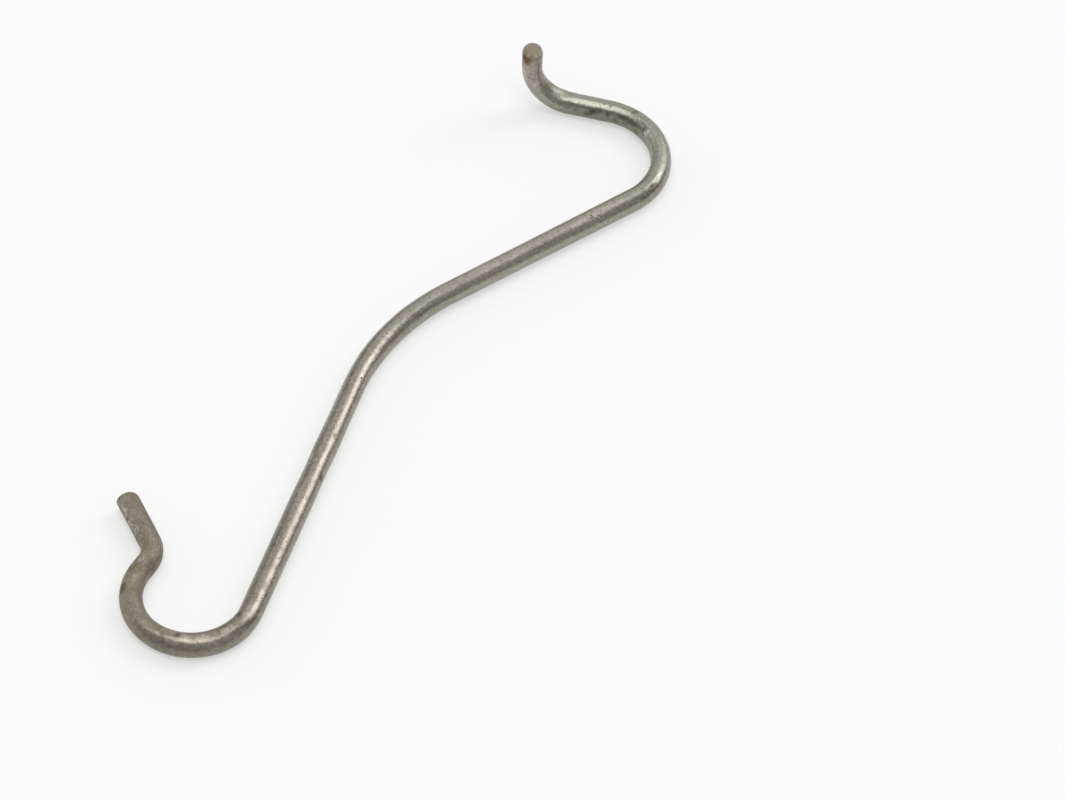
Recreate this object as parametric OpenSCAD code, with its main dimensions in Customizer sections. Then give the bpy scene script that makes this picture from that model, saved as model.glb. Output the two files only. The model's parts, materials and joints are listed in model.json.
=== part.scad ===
// Cable hanger hook: one length of round steel wire, bent cold into a long open C.
// The bowl at the lower end carries the cable, the crown at the upper end goes over a rail
// or a messenger wire, and the short pin past the crown drops into a hole so that it can't slip.
// The hook lies on its side with +Z up. The origin is on the axis of the bowl, level with the
// underside of the wire, and +X runs along the line of pull, from the bowl to the crown.
// All bend radii and lengths are those of the middle of the wire.

/* [Wire] */
// Diameter of the wire
wire_d = 4.76; // [3:0.01:7]
// Radius that the shears leave round the edge of each cut end
cut_round = 0.7; // [0.1:0.1:1.2]
// Share of its diameter that the wire loses where it is bent
draw_down = 0.02; // [0.015:0.001:0.04]

/* [Lower hook] */
// Straight lip at the mouth, which leads the cable in
lip_len = 11.9; // [6:0.1:20]
// Radius of the bend that kicks the lip outwards
lip_bend_r = 6.0; // [5:0.1:9]
// Angle by which the lip kicks outwards
lip_bend_angle = 55; // [30:1:70]
// Straight wire between the lip's bend and the bowl
lip_run = 2.3; // [1:0.1:10]
// Radius of the bowl, where the cable sits
bowl_r = 12.1; // [9:0.1:18]
// Angle of the bowl, which closes in towards the lip past a half turn
bowl_angle = 192; // [160:1:205]

/* [Shank] */
// Straight wire above the bowl
lower_shank_len = 61.0; // [45:0.1:90]
// Radius of the slow bend in the middle of the shank
shank_bend_r = 51.4; // [30:0.1:70]
// Angle of the slow bend
shank_bend_angle = 37; // [20:1:50]
// Straight wire below the crown
upper_shank_len = 47.1; // [35:0.1:80]

/* [Upper hook] */
// Radius of the crown, where the hook bears on what it hangs from
crown_r = 14.5; // [10:0.1:20]
// Angle of the crown
crown_angle = 130; // [100:1:150]
// Straight wire between the crown and the pin's bend
crown_run = 8.6; // [4:0.1:20]

/* [Pin] */
// Radius of the bend that turns the wire's end square out of the hook's plane
pin_bend_r = 8.8; // [6:0.1:14]
// Straight length of the pin, down to its cut end
pin_len = 4.8; // [3:0.1:20]

/* [Hidden] */
$fn = 48;
steel = [0.60, 0.57, 0.52];
wire_r = wire_d / 2;
bent_wire_r = wire_r * (1 - draw_down);
quarter_turn = 90;
// How far the drawn-down wire of a bend runs on inside the wire beside it
lap = 0.05;

// The bending schedule, from the lip's end: straight wire fed, then radius and angle of the bend.
// Left-hand bends are positive.
bends = [
    [lip_len, lip_bend_r, -lip_bend_angle],
    [lip_run, bowl_r, bowl_angle],
    [lower_shank_len, shank_bend_r, -shank_bend_angle],
    [upper_shank_len, crown_r, crown_angle],
];
bowl_bend = 1;
crown_bend = 3;

function feed(i) = bends[i][0];
function radius(i) = bends[i][1];
function angle(i) = bends[i][2];
function ahead(h) = [cos(h), sin(h), 0];
function leftward(h) = [-sin(h), cos(h), 0];

// Heading of the wire before bend i, measured from the lip
function heading(i) = i == 0 ? 0 : heading(i - 1) + angle(i - 1);

// Where the straight before bend i starts
function start(i) = i == 0 ? [0, 0, 0]
    : centre(i - 1) - leftward(heading(i)) * radius(i - 1) * sign(angle(i - 1));

// Centre that bend i turns about
function centre(i) = start(i) + ahead(heading(i)) * feed(i)
    + leftward(heading(i)) * radius(i) * sign(angle(i));

pull = centre(crown_bend) - centre(bowl_bend);
pull_heading = atan2(pull[1], pull[0]);

// Straight wire along +X
module straight(len) {
    rotate([0, quarter_turn, 0]) cylinder(r = wire_r, h = len);
}

// Straight wire along +X that ends in a sheared face with a rounded edge
module cut_end(len) {
    rotate([0, quarter_turn, 0]) rotate_extrude() {
        square([wire_r, len - cut_round]);
        square([wire_r - cut_round, len]);
        translate([wire_r - cut_round, len - cut_round]) circle(r = cut_round);
    }
}

// Wire that enters along +X and turns to the left about a vertical axis
module left_bend(r, turn) {
    lap_turn = lap / r * 180 / PI;
    translate([0, r, 0]) rotate(-quarter_turn - lap_turn)
        rotate_extrude(angle = turn + 2 * lap_turn) translate([r, 0]) circle(r = bent_wire_r);
}

// Wire that enters along +X and turns by a signed angle
module bend(r, turn) {
    if (turn > 0) left_bend(r, turn);
    else mirror([0, 1, 0]) left_bend(r, -turn);
}

// The lip, which starts at the wire's first cut end
module lip() {
    translate([lip_len, 0, 0]) rotate(2 * quarter_turn) cut_end(lip_len);
}

// The bent end past the crown: out of the hook's plane, then a straight pin
module pin() {
    translate(start(len(bends))) rotate(heading(len(bends))) {
        straight(crown_run);
        translate([crown_run, 0, 0]) rotate([quarter_turn, 0, 0]) {
            bend(pin_bend_r, quarter_turn);
            translate([pin_bend_r, pin_bend_r, 0]) rotate(quarter_turn) cut_end(pin_len);
        }
    }
}

module wire_hook() {
    color(steel)
    rotate(-pull_heading) translate(-centre(bowl_bend)) translate([0, 0, wire_r]) {
        lip();
        for (i = [0 : len(bends) - 1])
            translate(start(i)) rotate(heading(i)) {
                if (i > 0) straight(feed(i));
                translate([feed(i), 0, 0]) bend(radius(i), angle(i));
            }
        pin();
    }
}

wire_hook();
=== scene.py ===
"""Dresses a bent wire cable hanger: the wire's worked surface, its bare steel, the floor and the studio."""

import json
import logging
import math
from dataclasses import dataclass, field, replace
from enum import Enum

import bmesh
import bpy
from mathutils import Matrix, Vector, noise


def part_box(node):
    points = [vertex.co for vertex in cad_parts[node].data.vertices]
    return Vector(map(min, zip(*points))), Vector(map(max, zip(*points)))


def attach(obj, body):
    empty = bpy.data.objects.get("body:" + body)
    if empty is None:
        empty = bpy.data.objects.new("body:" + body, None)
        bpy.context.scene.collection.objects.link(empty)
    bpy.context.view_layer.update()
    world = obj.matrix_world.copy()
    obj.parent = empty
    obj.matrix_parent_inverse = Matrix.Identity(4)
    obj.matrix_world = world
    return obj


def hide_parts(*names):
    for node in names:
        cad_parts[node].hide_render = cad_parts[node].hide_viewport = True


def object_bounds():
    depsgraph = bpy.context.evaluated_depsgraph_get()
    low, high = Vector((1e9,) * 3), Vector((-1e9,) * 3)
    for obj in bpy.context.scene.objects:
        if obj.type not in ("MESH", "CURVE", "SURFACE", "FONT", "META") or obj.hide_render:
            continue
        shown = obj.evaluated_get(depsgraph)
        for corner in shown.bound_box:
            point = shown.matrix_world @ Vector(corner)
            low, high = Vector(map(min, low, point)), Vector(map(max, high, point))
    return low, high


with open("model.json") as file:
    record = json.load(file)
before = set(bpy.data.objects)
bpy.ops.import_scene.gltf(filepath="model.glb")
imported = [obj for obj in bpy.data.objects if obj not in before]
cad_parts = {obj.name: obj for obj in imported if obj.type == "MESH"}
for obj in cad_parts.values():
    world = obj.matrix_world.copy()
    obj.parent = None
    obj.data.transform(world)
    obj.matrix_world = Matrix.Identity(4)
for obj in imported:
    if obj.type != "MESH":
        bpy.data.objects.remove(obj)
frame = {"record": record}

log = logging.getLogger("cable_hanger")

MM = 0.001
CAD_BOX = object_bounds()
WHITE = (1.0, 1.0, 1.0)
NOISE_MIDDLE = 0.5


class Side(Enum):
    """The side that a bend turns to, seen along the wire from above."""

    LEFT = 1
    RIGHT = -1


class Mark(Enum):
    """What a spot on the wire's surface looks like."""

    BROWN = "brown with the oil of the bender"
    OLIVE = "greenish with old oxide"
    PINK = "pinkish"
    # PAINTED_LIGHT_AND_WIPED spots are mostly painted light: painted highlights, and painted light over
    # dark reflected bands; a few are wiped-bare metal.
    PAINTED_LIGHT_AND_WIPED = "wiped bare"
    # CHIPPED_AND_GLINT spots on the lip are chipped fresh metal; those on the crown run are painted
    # highlights.
    CHIPPED_AND_GLINT = "chipped down to fresh metal"
    MATT = "matt, where the die never touched it"
    # POLISH_AND_HIGHLIGHT lowers the roughness where a tool burnished the wire, and also lightens the
    # colour as a painted highlight.
    POLISH_AND_HIGHLIGHT = "burnished by a tool"
    WORN = "its grain worn down"
    # SCALE_AND_SHADE spots: the small ones are dark scale; the long thin bands along the wire are painted
    # shade for reflected dark bands, and one dims a highlight.
    SCALE_AND_SHADE = "dark scale"
    RUST = "rust"


# ---------------------------------------------------------------- shader expressions


@dataclass(frozen=True)
class Val:
    """An output socket that takes part in Python expressions."""

    shade: "Shade"
    socket: bpy.types.NodeSocket

    def _math(self, operation: str, *terms: "Val | float") -> "Val":
        """Adds a Math node.

        Args:
            operation: the node's operation.
            terms: every operand, in order.

        Returns:
            The node's value.
        """
        return self.shade.node("ShaderNodeMath", {"operation": operation}, dict(enumerate(terms)))

    def __add__(self, other: "Val | float") -> "Val":
        """self + other."""
        return self._math("ADD", self, other)

    def __radd__(self, other: float) -> "Val":
        """other + self."""
        return self._math("ADD", other, self)

    def __sub__(self, other: "Val | float") -> "Val":
        """self - other."""
        return self._math("SUBTRACT", self, other)

    def __rsub__(self, other: float) -> "Val":
        """other - self."""
        return self._math("SUBTRACT", other, self)

    def __mul__(self, other: "Val | float") -> "Val":
        """self * other."""
        return self._math("MULTIPLY", self, other)

    def __rmul__(self, other: float) -> "Val":
        """other * self."""
        return self._math("MULTIPLY", other, self)

    def most(self, other: "Val | float") -> "Val":
        """The larger of two values."""
        return self._math("MAXIMUM", self, other)

    def step(self, low: float, high: float) -> "Val":
        """Rises smoothly from 0 at low to 1 at high; with low above high it falls.

        Args:
            low: where the step is still 0.
            high: where the step has reached 1.

        Returns:
            The step's value.
        """
        settings = {"interpolation_type": "SMOOTHSTEP"}
        ends = (low, high, 0.0, 1.0) if low < high else (high, low, 1.0, 0.0)
        names = ("From Min", "From Max", "To Min", "To Max")
        return self.shade.node("ShaderNodeMapRange", settings, {"Value": self, **dict(zip(names, ends))})


class Shade:
    """The node tree of one material or of the world."""

    def __init__(self, owner: bpy.types.ID) -> None:
        """Empties the owner's tree and keeps it.

        Args:
            owner: a material or a world.
        """
        owner.use_nodes = True
        self.tree = owner.node_tree
        self.tree.nodes.clear()

    def node(self, kind: str, settings: dict | None = None, inputs: dict | None = None,
             out: str | int = 0) -> Val:
        """Adds a node.

        Args:
            kind: the node's type.
            settings: its properties, set first.
            inputs: values or links of its sockets, by name or number.
            out: the output to return.

        Returns:
            That output.
        """
        made = self.tree.nodes.new(kind)
        for name, value in (settings or {}).items():
            setattr(made, name, value)
        for name, value in (inputs or {}).items():
            if isinstance(value, Val):
                self.tree.links.new(value.socket, made.inputs[name])
            else:
                made.inputs[name].default_value = value
        return Val(self, made.outputs[out]) if len(made.outputs) else Val(self, None)

    def blend(self, share: Val | float, first: Val | tuple, second: Val | tuple) -> Val:
        """Mixes two colours with a Mix node.

        Args:
            share: how much of the second.
            first: the first colour.
            second: the second colour.

        Returns:
            The mixed colour.
        """
        return self.node("ShaderNodeMix", {"data_type": "RGBA"}, {0: share, 6: first, 7: second}, out=2)

    def vector(self, operation: str, *vectors: Val | tuple, out: str | int = 0) -> Val:
        """Works on vectors with a Vector Math node.

        Args:
            operation: the node's operation.
            vectors: the vectors.
            out: the output to return, "Vector" or "Value".

        Returns:
            That output.
        """
        return self.node("ShaderNodeVectorMath", {"operation": operation}, dict(enumerate(vectors)), out)


def rgba(colour: tuple[float, float, float]) -> tuple[float, float, float, float]:
    """The colour with full alpha."""
    return (*colour, 1.0)


# ---------------------------------------------------------------- finishes


@dataclass(frozen=True)
class Spot:
    """A mark at one place on the wire's skin, with its length and width in mm.

    Its place is given on the straightened wire: along it from the lip's cut end, in mm, and round
    it, 0 degrees on the left of travel and 90 on top.
    """

    mark: Mark
    along: float
    clock: float
    length: float
    width: float
    strength: float

    def centre(self, radius: float) -> tuple[float, float, float]:
        """The spot's place on the straightened wire.

        Args:
            radius: the wire's radius, in mm.

        Returns:
            The place in mm.
        """
        turn = math.radians(self.clock)
        return (radius * math.cos(turn), radius * math.sin(turn), self.along)

    def spread(self) -> tuple[float, float, float]:
        """How much each axis of the straightened wire counts in the spot's distance."""
        return (2.0 / self.width, 2.0 / self.width, 2.0 / self.length)


@dataclass(frozen=True)
class Cloud:
    """Soft noise on the straightened wire.

    Its size is that of its largest patches, in mm. The last axis of its stretch and its shift lies
    along the wire, and a stretch below 1 draws the patches out.
    """

    size: float
    detail: float
    roughness: float
    stretch: tuple[float, float, float] = (1.0, 1.0, 1.0)
    shift: tuple[float, float, float] = (0.0, 0.0, 0.0)

    def lay(self, shade: Shade, skin: Val) -> Val:
        """Lays the noise on the skin.

        Args:
            shade: the material's tree.
            skin: the place on the straightened wire, in mm.

        Returns:
            The noise, from 0 to 1.
        """
        inputs = {"Vector": shade.vector("MULTIPLY_ADD", skin, self.stretch, self.shift),
                  "Scale": 1.0 / self.size, "Detail": self.detail, "Roughness": self.roughness}
        return shade.node("ShaderNodeTexNoise", {"noise_dimensions": "3D"}, inputs)


@dataclass(frozen=True)
class Coat:
    """A thin coat that follows a value: where it starts, where it is full, and its full strength."""

    start: float
    full: float
    strength: float = 1.0

    def over(self, value: Val) -> Val:
        """The coat's strength at each point, from the value that it follows."""
        return value.step(self.start, self.full) * self.strength


@dataclass(frozen=True)
class Sheen:
    """The steel's roughness, and what each feature adds to it."""

    base: float = 0.30
    flecks: float = 0.35
    mottle: float = 0.16
    matt: float = 0.38
    pits: float = 0.20
    scale: float = 0.10
    polish: float = -0.04
    chips_and_glints: float = -0.12
    rust: float = 0.30
    cut_face: float = 0.22


@dataclass(frozen=True)
class Relief:
    """How high each feature stands on the skin, in mm, and the strength of it all."""

    grain: float = 0.011
    speckle: float = 0.024
    lines: float = 0.010
    pits: float = -0.060
    scale: float = -0.02
    rust: float = 0.03
    strength: float = 0.85


@dataclass(frozen=True)
class Features:
    """The values that the steel's colour, sheen and relief are made of.

    Grain, speckle, mottle, patches, lines and blots are noises, and fleck is grain and speckle
    together. Coarse is how strong the grain is. The others are masks, 1 inside the feature.
    """

    grain: Val
    speckle: Val
    fleck: Val
    coarse: Val
    mottle: Val
    patches: Val
    lines: Val
    blots: Val
    pits: Val
    chips_and_glints: Val
    rust: Val
    cut_face: Val
    marks: dict[Mark, Val]


@dataclass(frozen=True)
class BareSteel:
    """Bare drawn wire: satin, grained and mottled, with die lines, pits, oxide and a little rust.

    The colours come first, then the noises, then the coats that follow these, with their
    strengths. Some spots are painted light: painted highlights, painted light over dark reflected
    bands, and painted shade bands along the wire.
    """

    name: str = "bare_steel"
    wire_radius: float = 2.38
    ior: float = 1.5
    spots: tuple[Spot, ...] = ()

    body: tuple[float, float, float] = (0.282, 0.264, 0.221)
    bright: tuple[float, float, float] = (0.400, 0.377, 0.323)
    dull: tuple[float, float, float] = (0.188, 0.177, 0.142)
    brown: tuple[float, float, float] = (0.270, 0.240, 0.176)
    oily: tuple[float, float, float] = (0.170, 0.145, 0.095)
    olive: tuple[float, float, float] = (0.240, 0.248, 0.196)
    pink: tuple[float, float, float] = (0.318, 0.280, 0.246)
    # Pale colour of the painted highlights and painted light, also of wiped-bare metal.
    pale_light_and_bare: tuple[float, float, float] = (0.520, 0.500, 0.440)
    # Bright fresh-metal colour, for chips and also for painted highlights.
    fresh_and_glint: tuple[float, float, float] = (0.620, 0.585, 0.500)
    # Near-black colour of pits and dark scale, also of the painted shade bands.
    soot_and_shade: tuple[float, float, float] = (0.070, 0.068, 0.045)
    sheared: tuple[float, float, float] = (0.400, 0.332, 0.242)
    rust: tuple[float, float, float] = (0.150, 0.080, 0.030)
    rust_stain: tuple[float, float, float] = (0.225, 0.150, 0.075)

    grain: Cloud = Cloud(0.34, 2.0, 0.60)
    speckle: Cloud = Cloud(0.85, 3.0, 0.65)
    mottle: Cloud = Cloud(2.6, 4.0, 0.58, stretch=(1.0, 1.0, 0.35))
    patches: Cloud = Cloud(5.5, 3.0, 0.50, stretch=(1.0, 1.0, 0.35), shift=(31.0, 7.0, 0.0))
    lines: Cloud = Cloud(0.34, 3.0, 0.55, stretch=(1.0, 1.0, 0.04))
    blots: Cloud = Cloud(3.2, 3.0, 0.60, shift=(0.0, 11.0, 3.0))
    sheen: Sheen = Sheen()
    relief: Relief = Relief()

    speckle_share: float = 0.5
    grain_strength: float = 1.28
    grain_worn: float = 1.05
    pink_patches: Coat = Coat(0.46, 0.66, 0.45)
    olive_patches: Coat = Coat(0.46, 0.26, 0.40)
    dull_mottle: Coat = Coat(0.52, 0.30, 0.50)
    oily_blots: Coat = Coat(0.50, 0.36, 0.55)
    bright_flecks: Coat = Coat(0.49, 0.62, 0.80)
    dull_flecks: Coat = Coat(0.48, 0.36, 0.60)
    dull_lines: Coat = Coat(0.50, 0.34, 0.30)
    # How pale the painted-light and wiped-bare spots are, over the flecks.
    lit_and_wiped_flecks: Coat = Coat(0.45, 0.58, 0.65)
    lit_and_wiped_ground: float = 0.35
    lit_and_wiped_strength: float = 0.80
    # How much the burnished spots are lightened, as a painted highlight.
    polish_highlight_strength: float = 0.25
    # Where chipped metal and painted highlights show over the speckle, and how strongly.
    chip_and_glint_specks: Coat = Coat(0.51, 0.59)
    chip_and_glint_strength: float = 0.75
    # How dark the pits, the scale and the painted shade bands are.
    soot_and_shade_strength: float = 0.75
    pit_sizes: tuple[tuple[float, float], ...] = ((1.9, 0.110), (0.95, 0.120))
    pit_edge: tuple[float, float] = (1.5, 0.6)
    pit_patches: Cloud = Cloud(6.0, 3.0, 0.60)
    pit_patch_edge: Coat = Coat(0.50, 0.62)
    pit_metal: float = -0.3
    rust_ground: float = 0.55
    rust_speckle: float = 0.90
    stain_coat: Coat = Coat(0.10, 0.60, 0.85)
    rust_coat: Coat = Coat(0.50, 0.95, 0.85)
    rust_metal: Coat = Coat(0.30, 0.90, -0.80)
    cut_reach: Coat = Coat(2.25, 1.75)
    cut_strength: float = 0.85
    torn_specks: Coat = Coat(0.36, 0.60)
    fray_pitch: float = 1.2
    fray_detail: float = 3.0
    fray_reach: tuple[float, float, float] = (1.1, 1.1, 1.6)
    mark_edge: tuple[float, float] = (1.25, 0.35)

    def make(self, attribute: str) -> bpy.types.Material:
        """Makes the material.

        Args:
            attribute: the mesh attribute that holds each point's place on the straightened wire, in mm.

        Returns:
            The material.
        """
        material = bpy.data.materials.new(self.name)
        shade = Shade(material)
        skin = shade.node("ShaderNodeAttribute", {"attribute_name": attribute}, out="Vector")
        seen = self._features(shade, skin)
        metal = 1.0 + self.rust_metal.over(seen.rust) + seen.pits * self.pit_metal
        bump = shade.node("ShaderNodeBump", {}, {
            "Strength": self.relief.strength, "Distance": MM, "Height": self._height(seen)})
        steel = shade.node("ShaderNodeBsdfPrincipled", {}, {
            "Base Color": self._colour(shade, seen), "Roughness": self._roughness(seen),
            "Metallic": metal, "Normal": bump, "IOR": self.ior})
        shade.node("ShaderNodeOutputMaterial", {}, {"Surface": steel})
        return material

    def _features(self, shade: Shade, skin: Val) -> Features:
        """Works out every value that the looks follow.

        Args:
            shade: the material's tree.
            skin: the place on the straightened wire.

        Returns:
            The values.
        """
        marks = self._marks(shade, skin)
        grain, speckle = self.grain.lay(shade, skin), self.speckle.lay(shade, skin)
        from_middle = shade.vector("MULTIPLY", skin, (1.0, 1.0, 0.0))
        return Features(
            grain=grain,
            speckle=speckle,
            fleck=speckle * self.speckle_share + grain * (1.0 - self.speckle_share),
            coarse=self.grain_strength - marks[Mark.WORN] * self.grain_worn,
            mottle=self.mottle.lay(shade, skin),
            patches=self.patches.lay(shade, skin),
            lines=self.lines.lay(shade, skin),
            blots=self.blots.lay(shade, skin),
            pits=self._pits(shade, skin),
            chips_and_glints=marks[Mark.CHIPPED_AND_GLINT] * self.chip_and_glint_specks.over(speckle),
            rust=marks[Mark.RUST] * (self.rust_ground + speckle * self.rust_speckle),
            cut_face=self.cut_reach.over(shade.vector("LENGTH", from_middle, out="Value")),
            marks=marks,
        )

    def _colour(self, shade: Shade, seen: Features) -> Val:
        """Lays one coat of colour over the other.

        Args:
            shade: the material's tree.
            seen: the values that the coats follow.

        Returns:
            The colour.
        """
        marks = seen.marks
        # Painted light: spots of painted highlight and painted light over dark reflected bands, a few of
        # them wiped-bare metal.
        lit_and_wiped = marks[Mark.PAINTED_LIGHT_AND_WIPED] * (self.lit_and_wiped_ground + self.lit_and_wiped_flecks.over(seen.fleck))
        torn = shade.blend(self.torn_specks.over(seen.speckle), rgba(self.body), rgba(self.sheared))
        coats = (
            (marks[Mark.BROWN], self.brown),
            (marks[Mark.OLIVE], self.olive),
            (self.pink_patches.over(seen.patches), self.pink),
            (self.olive_patches.over(seen.patches), self.olive),
            (marks[Mark.PINK], self.pink),
            (self.dull_mottle.over(seen.mottle), self.dull),
            (self.oily_blots.over(seen.blots) * marks[Mark.BROWN], self.oily),
            (self.bright_flecks.over(seen.fleck) * seen.coarse, self.bright),
            (self.dull_flecks.over(seen.fleck) * seen.coarse, self.dull),
            (self.dull_lines.over(seen.lines), self.dull),
            # Painted highlights and painted light, partly wiped-bare metal.
            (lit_and_wiped * self.lit_and_wiped_strength, self.pale_light_and_bare),
            # Painted highlight on the burnished spots.
            (marks[Mark.POLISH_AND_HIGHLIGHT] * self.polish_highlight_strength, self.pale_light_and_bare),
            # Chipped fresh metal, and painted highlights on the crown run.
            (seen.chips_and_glints * self.chip_and_glint_strength, self.fresh_and_glint),
            (seen.pits * self.soot_and_shade_strength, self.soot_and_shade),
            # Dark scale, and painted shade bands along the wire.
            (marks[Mark.SCALE_AND_SHADE] * self.soot_and_shade_strength, self.soot_and_shade),
            (self.stain_coat.over(seen.rust), self.rust_stain),
            (self.rust_coat.over(seen.rust), self.rust),
        )
        colour = rgba(self.body)
        for share, coat in coats:
            colour = shade.blend(share, colour, rgba(coat))
        return shade.blend(seen.cut_face * self.cut_strength, colour, torn)

    def _roughness(self, seen: Features) -> Val:
        """Adds up the roughness.

        Args:
            seen: the values that it follows.

        Returns:
            The roughness.
        """
        sheen, marks = self.sheen, seen.marks
        return (sheen.base + (seen.fleck - NOISE_MIDDLE) * seen.coarse * sheen.flecks
                + (seen.mottle - NOISE_MIDDLE) * sheen.mottle + marks[Mark.MATT] * sheen.matt
                + seen.pits * sheen.pits + marks[Mark.SCALE_AND_SHADE] * sheen.scale
                + marks[Mark.POLISH_AND_HIGHLIGHT] * sheen.polish + seen.chips_and_glints * sheen.chips_and_glints
                + seen.rust * sheen.rust + seen.cut_face * sheen.cut_face)

    def _height(self, seen: Features) -> Val:
        """Adds up the relief.

        Args:
            seen: the values that it follows.

        Returns:
            The height, in mm.
        """
        relief = self.relief
        return ((seen.grain * relief.grain + seen.speckle * relief.speckle) * seen.coarse
                + seen.lines * relief.lines + seen.pits * relief.pits + seen.rust * relief.rust
                + seen.marks[Mark.SCALE_AND_SHADE] * relief.scale)

    def _pits(self, shade: Shade, skin: Val) -> Val:
        """Small dark pits of two sizes, scattered in patches.

        Args:
            shade: the material's tree.
            skin: the place on the straightened wire.

        Returns:
            1 inside a pit.
        """
        found = []
        outer, inner = self.pit_edge
        for size, reach in self.pit_sizes:
            inputs = {"Vector": skin, "Scale": 1.0 / size, "Randomness": 1.0}
            cell = shade.node("ShaderNodeTexVoronoi", {"feature": "F1"}, inputs, out="Distance")
            patches = replace(self.pit_patches, size=self.pit_patches.size * size).lay(shade, skin)
            found.append(cell.step(reach * outer, reach * inner) * self.pit_patch_edge.over(patches))
        return found[0].most(found[1])

    def _marks(self, shade: Shade, skin: Val) -> dict[Mark, Val]:
        """The mask of every kind of mark, with ragged edges.

        Args:
            shade: the material's tree.
            skin: the place on the straightened wire.

        Returns:
            The masks, from 0 to 1, by mark.
        """
        inputs = {"Vector": skin, "Scale": self.fray_pitch, "Detail": self.fray_detail}
        frayed = shade.node("ShaderNodeTexNoise", {"noise_dimensions": "3D"}, inputs, out="Color")
        frayed = shade.vector("SUBTRACT", frayed, (NOISE_MIDDLE,) * 3)
        ragged = shade.vector("ADD", skin, shade.vector("MULTIPLY", frayed, self.fray_reach))
        masks = {}
        for spot in self.spots:
            off = shade.vector("SUBTRACT", ragged, spot.centre(self.wire_radius))
            off = shade.vector("MULTIPLY", off, spot.spread())
            share = shade.vector("LENGTH", off, out="Value").step(*self.mark_edge) * spot.strength
            masks[spot.mark] = masks[spot.mark].most(share) if spot.mark in masks else share
        return masks


@dataclass(frozen=True)
class StudioWhite:
    """The floor's matt white paint, which looks a little whiter from a distance than it lights."""

    name: str = "studio_white"
    colour: tuple[float, float, float] = (0.93, 0.93, 0.93)
    glow: float = 0.5
    lit_rays: tuple[str, ...] = ("Is Camera Ray", "Is Glossy Ray", "Is Transmission Ray")

    def make(self) -> bpy.types.Material:
        """Makes the material.

        Returns:
            The paint: white to the camera and to what reflects it, and plain paint to the lamps.
        """
        material = bpy.data.materials.new(self.name)
        shade = Shade(material)
        rays = [shade.node("ShaderNodeLightPath", out=ray) for ray in self.lit_rays]
        paint = shade.node("ShaderNodeBsdfDiffuse", {}, {"Color": rgba(self.colour)})
        white = shade.node("ShaderNodeEmission", {}, {"Color": rgba(WHITE), "Strength": 1.0})
        seen = rays[0].most(rays[1]).most(rays[2]) * self.glow
        mixed = shade.node("ShaderNodeMixShader", {}, {0: seen, 1: paint, 2: white})
        shade.node("ShaderNodeOutputMaterial", {}, {"Surface": mixed})
        return material


# ---------------------------------------------------------------- the wire


@dataclass(frozen=True)
class Leg:
    """Straight wire fed through the bender, and the bend put in after it, in mm and degrees."""

    feed: float
    radius: float
    angle: float
    side: Side


@dataclass(frozen=True)
class Flat:
    """A shallow flat that a bending tool pressed into the wire, in mm and degrees.

    Its edge is how far it is rounded over into the round wire, and its span how far round the
    wire it can reach to each side.
    """

    along: float
    clock: float
    length: float
    depth: float
    edge: float = 0.08
    span: float = 60.0

    def press(self, reach: float, radius: float, along: float, clock: float) -> float:
        """Presses the flat into the skin.

        Args:
            reach: how far the skin is from the wire's middle, in mm.
            radius: the wire's radius, in mm.
            along: the distance from the lip's cut end, in mm.
            clock: the angle round the wire, in radians.

        Returns:
            The reach that is left, in mm.
        """
        off = abs(along - self.along) / (self.length / 2)
        facing = math.cos(clock - math.radians(self.clock))
        if off >= 1.0 or facing <= math.cos(math.radians(self.span)):
            return reach
        fade = 1.0 - off ** 4
        tool, edge = (radius - self.depth * fade) / facing, self.edge * fade
        share = min(1.0, max(0.0, 0.5 + 0.5 * (tool - reach) / edge))
        return tool + (reach - tool) * share - edge * share * (1.0 - share)


@dataclass(frozen=True)
class Squeeze:
    """A length of wire that the bending tools pressed out of round, in mm and degrees.

    It is wider by the share along the clock angle and thinner by it across that; a share below 0
    turns this about.
    """

    along: float
    length: float
    clock: float
    share: float

    def bulge(self, along: float, clock: float) -> float:
        """How far the skin stands out, as a share of the wire's radius.

        Args:
            along: the distance from the lip's cut end, in mm.
            clock: the angle round the wire, in radians.

        Returns:
            The share there, below 0 where the wire is thinner.
        """
        off = abs(along - self.along) / (self.length / 2)
        if off >= 1.0:
            return 0.0
        grip = self.share * 0.5 * (1.0 + math.cos(math.pi * off * off))
        return grip * math.cos(2.0 * (clock - math.radians(self.clock)))


@dataclass(frozen=True)
class Shear:
    """A sheared end: the rim is rolled over on one side and tight on the other, in mm and degrees."""

    rolled: float
    tight: float
    clock: float

    def back(self, reach: float, radius: float, clock: float) -> float:
        """How far the end's skin lies behind the cut face, in mm.

        Args:
            reach: the distance from the wire's middle.
            radius: the wire's radius.
            clock: the angle round the wire, in radians.

        Returns:
            The distance.
        """
        near = 0.5 + 0.5 * math.cos(clock - math.radians(self.clock))
        rim = self.tight + (self.rolled - self.tight) * near
        over = min(rim, max(0.0, reach - (radius - rim)))
        return rim - math.sqrt(rim * rim - over * over)


@dataclass(frozen=True)
class Ripple:
    """Unevenness of the skin: its height in mm, and its pitch across and along the wire, per mm."""

    height: float
    across: float
    along: float

    def at(self, skin: Vector) -> float:
        """How far the skin stands out at a place on the straightened wire, in mm."""
        place = Vector((skin.x * self.across, skin.y * self.across, skin.z * self.along))
        return self.height * noise.noise(place)


@dataclass(frozen=True)
class Pocks:
    """Small scattered dips: their depth in mm, their pitch per mm, and how rare they are."""

    depth: float = 0.05
    pitch: float = 0.9
    rarity: float = 0.42
    shift: tuple[float, float, float] = (7.0, 3.0, 1.0)

    def at(self, skin: Vector) -> float:
        """How far the skin is sunk at a place on the straightened wire, in mm."""
        return self.depth * max(0.0, noise.noise(skin * self.pitch + Vector(self.shift)) - self.rarity)


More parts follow.
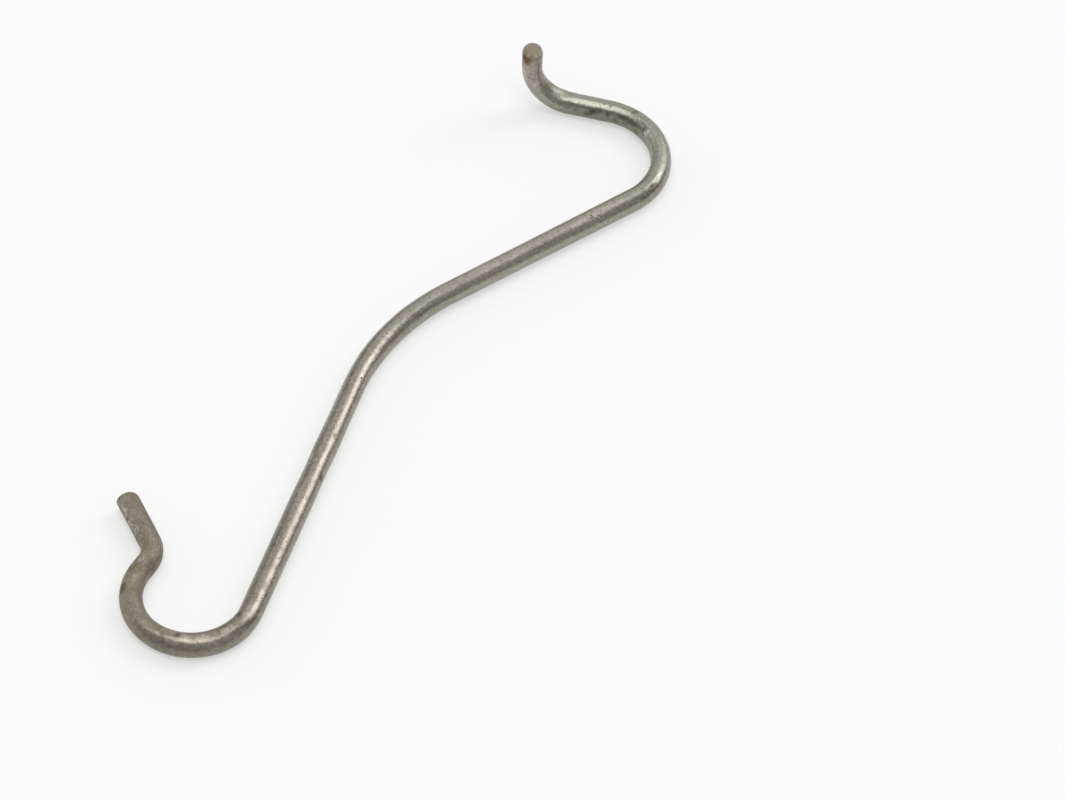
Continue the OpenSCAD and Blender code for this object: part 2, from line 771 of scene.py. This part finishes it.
@dataclass
class Station:
    """A ring of the wire: its frame, with X along the wire, and its distance from the lip's cut end.

    Curl is the wire's diameter over the bend's radius, and inner the side that faces the bend's
    centre, in radians. On a cut end, share is the ring's part of the wire's radius, way is 1 at
    the wire's last end and -1 at its first, and shear is how the end was cut.
    """

    place: Matrix
    along: float
    curl: float = 0.0
    inner: float = 0.0
    share: float = 1.0
    way: int = 0
    shear: Shear | None = None


@dataclass
class HangerWire:
    """The hook: one wire, sheared at both ends and bent cold, in mm and degrees.

    Flattening and inner thinning are shares of the wire's radius for each unit of curl. Every
    draw_length rings are drawn as one mesh and then welded to the whole.
    """

    name: str = "bent_wire"
    body: str = "root"
    node: str = "wire_hook"
    slot: str = "bare_steel"
    attribute: str = "straightened"
    diameter: float = 4.76
    legs: tuple[Leg, ...] = (
        Leg(11.9, 6.0, 55.0, Side.RIGHT),
        Leg(2.3, 12.1, 192.0, Side.LEFT),
        Leg(61.0, 51.4, 37.0, Side.RIGHT),
        Leg(47.1, 14.5, 130.0, Side.LEFT),
    )
    bowl_leg: int = 1
    crown_leg: int = 3
    crown_run: float = 8.6
    pin_bend_radius: float = 8.8
    pin_bend_angle: float = 90.0
    pin_length: float = 4.8

    facets: int = 80
    ring_gap: float = 0.27
    end_rings: int = 16
    draw_length: int = 40
    weld: float = 0.002

    lip_end: Shear = Shear(1.00, 0.30, 10.0)
    pin_end: Shear = Shear(1.30, 0.40, 10.0)
    torn: tuple[Ripple, ...] = (Ripple(0.06, 0.7, 0.7), Ripple(0.025, 2.6, 2.6))
    torn_fade: int = 8
    flattening: float = 0.0572
    inner_thinning: float = 0.0078
    eased_rings: int = 7
    ripples: tuple[Ripple, ...] = (
        Ripple(0.030, 0.25, 0.05), Ripple(0.022, 0.55, 0.55), Ripple(0.010, 1.3, 1.3))
    pocks: Pocks = Pocks()
    squeezes: tuple[Squeeze, ...] = (
        Squeeze(5.0, 22.0, 15.0, -0.045),
        Squeeze(47.0, 26.0, 37.0, 0.056),
        Squeeze(97.5, 12.0, 16.0, -0.042),
        Squeeze(118.0, 26.0, 16.0, -0.036),
        Squeeze(139.0, 24.0, 27.0, 0.022),
        Squeeze(196.0, 40.0, 36.0, 0.020),
        Squeeze(216.0, 18.0, -6.0, -0.048),
        Squeeze(245.0, 7.0, 137.0, 0.030),
        Squeeze(262.0, 28.0, 104.0, -0.075),
    )
    flats: tuple[Flat, ...] = (
        Flat(14.4, 178.0, 5.0, 0.10),
        Flat(19.6, 10.0, 5.0, 0.08),
        Flat(47.0, 0.0, 12.0, 0.06),
        Flat(62.0, 2.0, 6.0, 0.06),
        Flat(138.0, 182.0, 16.0, 0.05),
        Flat(203.0, 2.0, 7.0, 0.08),
        Flat(222.9, 46.0, 3.4, 0.15),
        Flat(236.2, 64.0, 25.0, 0.085),
    )
    stations: list[Station] = field(default_factory=list)
    centres: list[Vector] = field(default_factory=list)

    @property
    def radius(self) -> float:
        """The wire's radius, in mm."""
        return self.diameter / 2

    # -- the bending schedule

    def lay_out(self) -> None:
        """Works through the bending schedule, and sets the hook on its mounts."""
        self.stations = [Station(Matrix.Identity(4), 0.0)]
        for leg in self.legs:
            self._feed(leg.feed)
            self.centres.append(self._bend(leg.radius, leg.angle, leg.side))
        self._feed(self.crown_run)
        self._bend_up(self.pin_bend_radius, self.pin_bend_angle)
        self._feed(self.pin_length)

        mounts = {m["name"]: Vector(m["pos_m"]) / MM for m in frame["record"]["mounts"]}
        pull = self.centres[self.crown_leg] - self.centres[self.bowl_leg]
        wanted = mounts["crown"] - mounts["bowl"]
        turn = math.atan2(wanted.y, wanted.x) - math.atan2(pull.y, pull.x)
        rests = Vector((0.0, 0.0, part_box(self.node)[0].z / MM + self.radius))
        onto = (Matrix.Translation(mounts["bowl"] + rests) @ Matrix.Rotation(turn, 4, "Z")
                @ Matrix.Translation(-self.centres[self.bowl_leg]))
        for station in self.stations:
            station.place = onto @ station.place

    def _feed(self, length: float) -> None:
        """Adds stations along a straight.

        Args:
            length: its length, in mm.
        """
        last, count = self.stations[-1], round(length / self.ring_gap)
        for k in range(1, count + 1):
            ahead = Matrix.Translation((length * k / count, 0.0, 0.0))
            self.stations.append(Station(last.place @ ahead, last.along + length * k / count))

    def _bend(self, radius: float, angle: float, side: Side) -> Vector:
        """Adds stations round a bend in the hook's plane.

        Args:
            radius: the bend's radius, in mm.
            angle: its angle, in degrees.
            side: the side that it turns to.

        Returns:
            The centre that it turns about.
        """
        to_centre = Matrix.Translation((0.0, radius * side.value, 0.0))
        inner = 0.0 if side is Side.LEFT else math.pi
        return self._arc(radius, angle * side.value, to_centre, "Z", inner)

    def _bend_up(self, radius: float, angle: float) -> None:
        """Adds stations round the bend that leaves the hook's plane.

        Args:
            radius: the bend's radius, in mm.
            angle: its angle, in degrees.
        """
        self._arc(radius, -angle, Matrix.Translation((0.0, 0.0, radius)), "Y", math.pi / 2)

    def _arc(self, radius: float, angle: float, to_centre: Matrix, axis: str, inner: float) -> Vector:
        """Adds stations round a centre.

        Args:
            radius: the bend's radius, in mm.
            angle: its signed angle, in degrees.
            to_centre: from the wire's middle to the centre.
            axis: the wire's own axis that it turns about.
            inner: the side of the wire that faces the centre, in radians.

        Returns:
            The centre.
        """
        last = self.stations[-1]
        length, curl = radius * math.radians(abs(angle)), self.diameter / radius
        count = round(length / self.ring_gap)
        for k in range(1, count + 1):
            turned = Matrix.Rotation(math.radians(angle) * k / count, 4, axis)
            place = last.place @ to_centre @ turned @ to_centre.inverted()
            self.stations.append(Station(place, last.along + length * k / count, curl, inner))
        return (last.place @ to_centre).translation

    # -- the mesh

    def build(self) -> bpy.types.Object:
        """Builds the hook's mesh and object.

        Returns:
            The object, at the origin, with its place in its mesh.
        """
        self.lay_out()
        rings = self._rings()
        curls = self._eased([ring.curl for ring in rings])
        whole = bmesh.new()
        for start in range(0, len(rings) - 1, self.draw_length):
            stop = start + self.draw_length + 1
            self._draw(whole, rings[start:stop], curls[start:stop])
        bmesh.ops.remove_doubles(whole, verts=whole.verts, dist=self.weld)
        self._close_ends(whole, rings)
        bmesh.ops.recalc_face_normals(whole, faces=whole.faces)
        self._sort_faces(whole)
        bmesh.ops.transform(whole, matrix=Matrix.Scale(MM, 4), verts=whole.verts)
        for face in whole.faces:
            face.smooth = True
        mesh = bpy.data.meshes.new(self.name)
        whole.to_mesh(mesh)
        whole.free()
        piece = bpy.data.objects.new(self.name, mesh)
        bpy.context.scene.collection.objects.link(piece)
        return piece

    def _rings(self) -> list[Station]:
        """The stations with both cut ends worked out.

        Returns:
            Every ring of the mesh, in the order of the wire.
        """
        first, last = self.stations[0], self.stations[-1]
        clear = max(self.lip_end.rolled, self.pin_end.rolled) + self.ring_gap
        between = [s for s in self.stations if first.along + clear < s.along < last.along - clear]
        lip, pin = self._sheared_end(first, self.lip_end, -1), self._sheared_end(last, self.pin_end, 1)
        return lip + between + pin

    def _sheared_end(self, end: Station, shear: Shear, way: int) -> list[Station]:
        """The rings over a cut end: its face, then the rounded rim, in the order of the wire.

        Args:
            end: the station of the cut face.
            shear: how the shears left it.
            way: 1 at the wire's last end and -1 at its first.

        Returns:
            The rings, which stand in for the station.
        """
        shares = [math.sin(math.pi / 2 * k / self.end_rings) for k in range(1, self.end_rings + 1)]
        rings = [Station(end.place, end.along, share=share, way=way, shear=shear) for share in shares]
        return rings if way < 0 else rings[::-1]

    def _eased(self, values: list[float]) -> list[float]:
        """Averages values over their neighbours, so that a bend begins and ends gently.

        Args:
            values: one value for each ring.

        Returns:
            The averages.
        """
        width = self.eased_rings
        padded = [values[0]] * width + values + [values[-1]] * width
        return [sum(padded[k:k + 2 * width + 1]) / (2 * width + 1) for k in range(len(values))]

    def _draw(self, whole: bmesh.types.BMesh, rings: list[Station], curls: list[float]) -> None:
        """Draws a short length of wire and adds it to the whole.

        Args:
            whole: the hook's mesh.
            rings: the rings of this length, in order.
            curls: how strongly the wire is bent at each.
        """
        bm = bmesh.new()
        layer = bm.verts.layers.float_vector.new(self.attribute)
        verts = bmesh.ops.create_circle(bm, segments=self.facets, radius=1.0,
                                        matrix=self._ring_matrix(rings[0]))["verts"]
        edges = bm.edges[:]
        drawn = [verts]
        for before, ring in zip(rings, rings[1:]):
            made = bmesh.ops.extrude_edge_only(bm, edges=edges)["geom"]
            edges = [e for e in made if isinstance(e, bmesh.types.BMEdge)]
            verts = [v for v in made if isinstance(v, bmesh.types.BMVert)]
            step = self._ring_matrix(ring) @ self._ring_matrix(before).inverted()
            bmesh.ops.transform(bm, matrix=step, verts=verts)
            drawn.append(verts)
        for ring, curl, verts in zip(rings, curls, drawn):
            self._work(verts, layer, ring, curl)
        length = bpy.data.meshes.new("length")
        bm.to_mesh(length)
        bm.free()
        whole.from_mesh(length)
        bpy.data.meshes.remove(length)

    def _ring_matrix(self, ring: Station) -> Matrix:
        """The matrix that lays a unit circle of the XY plane on a ring, across the wire."""
        across = Matrix(((0, 0, 1, 0), (1, 0, 0, 0), (0, 1, 0, 0), (0, 0, 0, 1)))
        return ring.place @ across @ Matrix.Scale(self.radius * ring.share, 4)

    def _close_ends(self, whole: bmesh.types.BMesh, rings: list[Station]) -> None:
        """Closes the middle of both cut faces.

        Args:
            whole: the hook's mesh.
            rings: its rings, in order.
        """
        layer = whole.verts.layers.float_vector[self.attribute]
        open_edges = [e for e in whole.edges if e.is_boundary]
        faces = bmesh.ops.edgeloop_fill(whole, edges=open_edges)["faces"]
        for hub in bmesh.ops.poke(whole, faces=faces)["verts"]:
            nearest = min((rings[0], rings[-1]), key=lambda r: (r.place.translation - hub.co).length)
            hub[layer] = (0.0, 0.0, nearest.along)

    @staticmethod
    def _sort_faces(whole: bmesh.types.BMesh) -> None:
        """Puts the faces in the order of their vertices, which is the same in every run.

        Args:
            whole: the hook's mesh.
        """
        whole.verts.index_update()
        ordered = sorted(whole.faces, key=lambda face: sorted(vert.index for vert in face.verts))
        ranks = {face: rank for rank, face in enumerate(ordered)}
        whole.faces.sort(key=ranks.get)

    # -- the worked surface

    def _work(self, verts: list[bmesh.types.BMVert], layer: bmesh.types.BMLayerItem, ring: Station,
              curl: float) -> None:
        """Gives a ring its flattening, tool flats and dents, and records it on the straightened wire.

        Args:
            verts: the ring's vertices.
            layer: where the place on the straightened wire is kept.
            ring: the ring.
            curl: the wire's diameter over the bend's radius.
        """
        back = ring.place.inverted()
        for vert in verts:
            local = back @ vert.co
            clock = math.atan2(local.z, local.y)
            reach = self.radius * ring.share
            sunk = -ring.way * ring.shear.back(reach, self.radius, clock) if ring.shear else 0.0
            skin = Vector((reach * math.cos(clock), reach * math.sin(clock), ring.along + sunk))
            vert[layer] = skin
            torn = sum(ripple.at(skin) for ripple in self.torn) * (1.0 - ring.share ** self.torn_fade)
            reach += ring.share * self._relief(skin, clock, curl, ring.inner)
            vert.co = ring.place @ Vector((sunk + torn, reach * math.cos(clock), reach * math.sin(clock)))

    def _relief(self, skin: Vector, clock: float, curl: float, inner: float) -> float:
        """How far the skin stands off the true round, in mm.

        Args:
            skin: the place on the straightened wire.
            clock: the angle round the wire, in radians.
            curl: the wire's diameter over the bend's radius.
            inner: the side that faces the bend's centre, in radians.

        Returns:
            The distance, outwards.
        """
        facing = math.cos(clock - inner)
        thinned = -curl * facing * (self.flattening * facing + self.inner_thinning)
        bulge = sum(squeeze.bulge(skin.z, clock) for squeeze in self.squeezes)
        uneven = sum(ripple.at(skin) for ripple in self.ripples) - self.pocks.at(skin)
        reach = self.radius * (1.0 + thinned + bulge) + uneven
        for flat in self.flats:
            reach = flat.press(reach, self.radius, skin.z, clock)
        return reach - self.radius

    def dress(self, piece: bpy.types.Object, finish: BareSteel) -> None:
        """Gives the hook its finish and its body, and hides the CAD node that it stands for.

        Args:
            piece: the hook's object.
            finish: the steel.
        """
        piece.data.materials.append(finish.make(self.attribute))
        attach(piece, self.body)
        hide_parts(self.node)


# Every mark on the wire: along, clock, length, width and strength, in mm and degrees, from lip to pin.
SPOT_TABLE: dict[Mark, tuple[tuple[float, float, float, float, float], ...]] = {
    Mark.BROWN: (
        (20.0, 90.0, 96.0, 14.0, 0.85), (262.0, 90.0, 18.0, 14.0, 0.60),
    ),
    Mark.OLIVE: (
        (226.0, 60.0, 54.0, 12.0, 0.85),
    ),
    Mark.PINK: (
        (95.0, 116.0, 80.0, 2.6, 0.55), (180.0, 95.0, 60.0, 2.4, 0.35),
    ),
    # PAINTED_LIGHT_AND_WIPED rows: painted highlights and painted light over dark reflected bands, a few on
    # wiped-bare metal.
    Mark.PAINTED_LIGHT_AND_WIPED: (
        (5.0, 142.0, 15.0, 3.6, 0.76), (18.2, 104.0, 3.8, 1.6, 0.75), (23.5, 84.0, 3.4, 1.1, 0.70),
        (30.0, 102.0, 14.0, 2.6, 0.30), (43.0, 138.0, 30.0, 1.8, 0.62), (44.4, 94.0, 2.8, 1.8, 1.00),
        (47.6, 94.0, 3.6, 1.8, 1.00), (53.0, 99.0, 5.0, 1.6, 0.70), (58.6, 104.0, 6.0, 2.0, 0.75),
        (127.0, 134.0, 14.0, 2.4, 0.40), (138.0, 105.0, 15.0, 2.8, 0.28), (174.0, 96.0, 76.0, 14.0, 0.52),
        (192.0, 104.0, 26.0, 3.0, 0.75), (208.6, 120.0, 4.6, 2.0, 0.95), (214.6, 62.0, 15.5, 4.6, 0.85),
        (219.0, 118.0, 26.0, 4.0, 0.45), (221.5, 56.0, 15.0, 4.4, 0.85), (222.8, 44.0, 1.8, 2.6, 1.00),
        (226.8, 66.0, 2.4, 1.6, 1.00), (231.3, 16.0, 2.2, 1.3, 0.35), (232.8, 34.0, 1.8, 1.1, 0.80),
        (235.8, 12.0, 1.6, 1.1, 0.30), (237.0, 55.0, 27.0, 1.3, 0.80), (238.0, 30.0, 26.0, 2.2, 0.50),
        (238.0, 108.0, 22.0, 2.6, 0.40), (240.4, 30.0, 2.2, 1.2, 0.80), (245.4, 20.0, 2.2, 1.6, 0.60),
        (247.0, 84.0, 4.2, 6.4, 1.00), (250.0, 32.0, 12.0, 4.4, 0.40), (251.5, 86.0, 2.6, 1.7, 0.75),
        (254.0, 12.0, 2.6, 2.2, 0.85), (255.2, 47.0, 7.0, 1.5, 0.95), (256.8, -38.0, 4.6, 3.0, 1.00),
        (259.0, 20.0, 20.0, 14.0, 0.60), (261.0, 38.0, 2.6, 3.8, 0.90),
    ),
    # CHIPPED_AND_GLINT rows: chips on the lip, and painted highlights at 222.8 and 226.8 mm.
    Mark.CHIPPED_AND_GLINT: (
        (5.0, 143.0, 6.6, 1.6, 0.85), (9.8, 138.0, 4.0, 1.6, 0.85), (222.8, 44.0, 1.8, 2.4, 0.90),
        (226.8, 66.0, 2.2, 1.4, 0.90),
    ),
    Mark.MATT: (
        (2.0, 90.0, 74.0, 14.0, 0.95), (66.0, 118.0, 2.4, 3.2, 0.34), (71.2, 118.0, 1.4, 3.2, 0.20),
        (75.6, 118.0, 1.4, 3.2, 0.20), (89.6, 120.0, 1.6, 3.0, 0.16), (106.6, 128.0, 1.6, 2.0, 0.45),
        (212.0, 56.0, 15.0, 3.0, 0.45), (214.4, 113.0, 9.0, 3.0, 0.32), (235.0, 24.0, 26.0, 3.2, 0.60),
        (247.4, 92.0, 7.0, 6.0, 0.55), (262.0, 90.0, 18.0, 14.0, 0.55),
    ),
    # POLISH_AND_HIGHLIGHT rows: burnish, with painted highlights at the crescent, along the crown run and
    # at 256.8 mm.
    Mark.POLISH_AND_HIGHLIGHT: (
        (222.6, 44.0, 1.6, 2.4, 1.00), (237.0, 73.0, 28.0, 1.8, 0.60), (256.8, -38.0, 4.6, 3.0, 0.80),
    ),
    Mark.WORN: (
        (3.0, 90.0, 20.0, 14.0, 0.35), (38.0, 90.0, 60.0, 14.0, 0.58), (172.0, 90.0, 98.0, 14.0, 0.70),
        (232.0, 60.0, 66.0, 14.0, 0.92), (262.0, 20.0, 24.0, 14.0, 0.82),
    ),
    # SCALE_AND_SHADE rows: small dark scale spots, and long thin bands that are painted shade along the
    # wire.
    Mark.SCALE_AND_SHADE: (
        (0.4, 160.0, 0.8, 0.6, 0.70), (0.6, 138.0, 0.9, 0.8, 0.80), (3.8, 163.0, 0.8, 1.0, 0.60),
        (5.0, 48.0, 16.0, 3.4, 0.22), (5.4, 158.0, 0.9, 1.2, 0.70), (9.1, 95.0, 1.0, 0.8, 0.30),
        (18.5, 55.0, 3.0, 1.6, 0.35), (18.6, 12.0, 2.0, 2.6, 0.40), (25.9, 131.0, 2.4, 2.2, 0.80),
        (30.0, 60.0, 18.0, 4.2, 0.30), (39.9, 104.0, 1.6, 2.4, 0.55), (42.7, 81.0, 1.5, 1.4, 0.95),
        (43.0, 168.0, 30.0, 2.2, 0.22), (47.0, 112.0, 12.0, 1.4, 0.20), (51.0, 84.0, 1.2, 1.8, 0.60),
        (52.8, 68.0, 1.4, 1.0, 0.60), (54.0, 44.0, 14.0, 2.8, 0.26), (57.2, 66.0, 1.6, 1.5, 0.95),
        (78.0, 109.0, 16.0, 3.0, 0.12), (84.0, 42.0, 62.0, 2.4, 0.24), (95.9, 150.0, 1.9, 1.5, 1.00),
        (175.3, 114.0, 1.0, 1.0, 0.60), (190.5, 108.0, 0.7, 1.5, 0.90), (205.9, 121.0, 1.6, 1.0, 1.00),
        (222.0, 10.0, 18.0, 2.6, 0.22), (225.8, 5.0, 2.8, 1.8, 0.60), (228.8, 97.0, 1.5, 2.2, 0.70),
        (229.0, 38.0, 9.5, 1.5, 0.78), (229.4, 16.0, 1.8, 1.3, 0.55), (230.8, 37.0, 4.0, 1.0, 0.80),
        (232.4, 2.0, 2.0, 1.8, 0.70), (234.0, -14.0, 26.0, 2.2, 0.26), (234.3, 76.0, 0.8, 0.9, 0.80),
        (234.6, 26.0, 0.9, 1.6, 0.80), (236.0, 44.0, 28.0, 0.9, 0.45), (236.3, 42.0, 1.6, 1.4, 0.80),
        (237.8, 30.0, 2.6, 1.9, 1.00), (238.5, 15.0, 1.6, 1.6, 0.90), (239.2, 4.0, 1.8, 1.4, 0.80),
        (241.4, 14.0, 1.6, 1.2, 0.45), (254.6, 72.0, 6.5, 1.3, 0.28),
    ),
    Mark.RUST: (
        (26.0, 130.0, 2.8, 2.6, 0.32), (261.6, -28.0, 4.2, 3.4, 1.00),
    ),
}
SPOTS = tuple(Spot(mark, *row) for mark, rows in SPOT_TABLE.items() for row in rows)


# ---------------------------------------------------------------- the studio


@dataclass(frozen=True)
class Lamp:
    """A soft lamp, far away. Its direction is given in degrees, as the way to it."""

    name: str
    azimuth: float
    elevation: float
    spread: float
    strength: float

    def hang(self) -> None:
        """Makes the lamp."""
        lamp = bpy.data.lights.new(self.name, "SUN")
        lamp.angle, lamp.energy, lamp.color = math.radians(self.spread), self.strength, WHITE
        holder = bpy.data.objects.new(self.name, lamp)
        azimuth, elevation = math.radians(self.azimuth), math.radians(self.elevation)
        to_lamp = Vector((math.cos(azimuth) * math.cos(elevation),
                          math.sin(azimuth) * math.cos(elevation), math.sin(elevation)))
        holder.rotation_mode = "QUATERNION"
        holder.rotation_quaternion = to_lamp.to_track_quat("Z", "Y")
        holder.location = to_lamp
        bpy.context.scene.collection.objects.link(holder)


@dataclass(frozen=True)
class Studio:
    """A white floor, soft lamps and an even sky; the floor's radius is in m and its gap in mm."""

    floor_radius: float = 6.0
    floor_facets: int = 96
    floor_gap: float = 0.05
    sky: tuple[float, float, float] = (0.35, 0.35, 0.35)
    lamps: tuple[Lamp, ...] = (
        Lamp("key_softbox", -15.0, 43.0, 26.0, 0.33),
        Lamp("low_softbox", -28.0, 30.0, 26.0, 0.33),
        Lamp("wide_softbox", 15.0, 45.0, 80.0, 0.80),
        Lamp("top_softbox", 120.0, 75.0, 28.0, 0.42),
        Lamp("back_softbox", -120.0, 75.0, 26.0, 0.52),
        Lamp("side_softbox", 94.0, 20.0, 46.0, 0.35),
        Lamp("fill_softbox", -110.0, 38.0, 70.0, 0.12),
    )

    def set_up(self) -> None:
        """Lays the floor, hangs the lamps and lights the sky."""
        self._lay_floor()
        for lamp in self.lamps:
            lamp.hang()
        world = bpy.data.worlds.new("studio_sky")
        shade = Shade(world)
        glow = shade.node("ShaderNodeBackground", {}, {"Color": rgba(self.sky), "Strength": 1.0})
        shade.node("ShaderNodeOutputWorld", {}, {"Surface": glow})
        bpy.context.scene.world = world
        bpy.context.scene.view_settings.view_transform = "Standard"

    def _lay_floor(self) -> None:
        """Lays the floor under the lowest point of the CAD model."""
        bm = bmesh.new()
        bmesh.ops.create_circle(bm, cap_ends=True, segments=self.floor_facets, radius=self.floor_radius)
        middle, under = (CAD_BOX[0] + CAD_BOX[1]) / 2, CAD_BOX[0].z - self.floor_gap * MM
        bmesh.ops.translate(bm, verts=bm.verts, vec=(middle.x, middle.y, under))
        mesh = bpy.data.meshes.new("floor")
        bm.to_mesh(mesh)
        bm.free()
        mesh.materials.append(StudioWhite().make())
        floor = bpy.data.objects.new("floor", mesh)
        bpy.context.scene.collection.objects.link(floor)


@dataclass(frozen=True)
class Camera:
    """The camera: its place, lens and sensor in mm in the hook's frame, and its clipping in m."""

    place: tuple[float, float, float] = (-440.935, -347.541, 718.650)
    look: tuple[float, float, float] = (0.55305, 0.34054, -0.76037)
    up: tuple[float, float, float] = (0.62452, 0.43464, 0.64890)
    lens: float = 156.656
    sensor: float = 36.0
    clip: tuple[float, float] = (0.05, 40.0)

    def set_up(self) -> None:
        """Makes the camera and gives it to the scene."""
        lens = bpy.data.cameras.new("camera")
        lens.sensor_fit, lens.sensor_width, lens.lens = "HORIZONTAL", self.sensor, self.lens
        lens.clip_start, lens.clip_end = self.clip
        camera = bpy.data.objects.new("camera", lens)
        look, up = Vector(self.look).normalized(), Vector(self.up).normalized()
        right = look.cross(up).normalized()
        turn = Matrix((right, right.cross(look), -look)).transposed()
        camera.matrix_world = Matrix.Translation(Vector(self.place) * MM) @ turn.to_4x4()
        bpy.context.scene.collection.objects.link(camera)
        bpy.context.scene.camera = camera


def main() -> None:
    """Builds and dresses everything, in order."""
    logging.basicConfig(level=logging.INFO, format="%(name)s: %(message)s")
    Camera().set_up()
    Studio().set_up()
    wire = HangerWire()
    hook = wire.build()
    wire.dress(hook, BareSteel(spots=SPOTS))
    log.info("%s: %d faces", hook.name, len(hook.data.polygons))


if __name__ == "__main__":
    main()
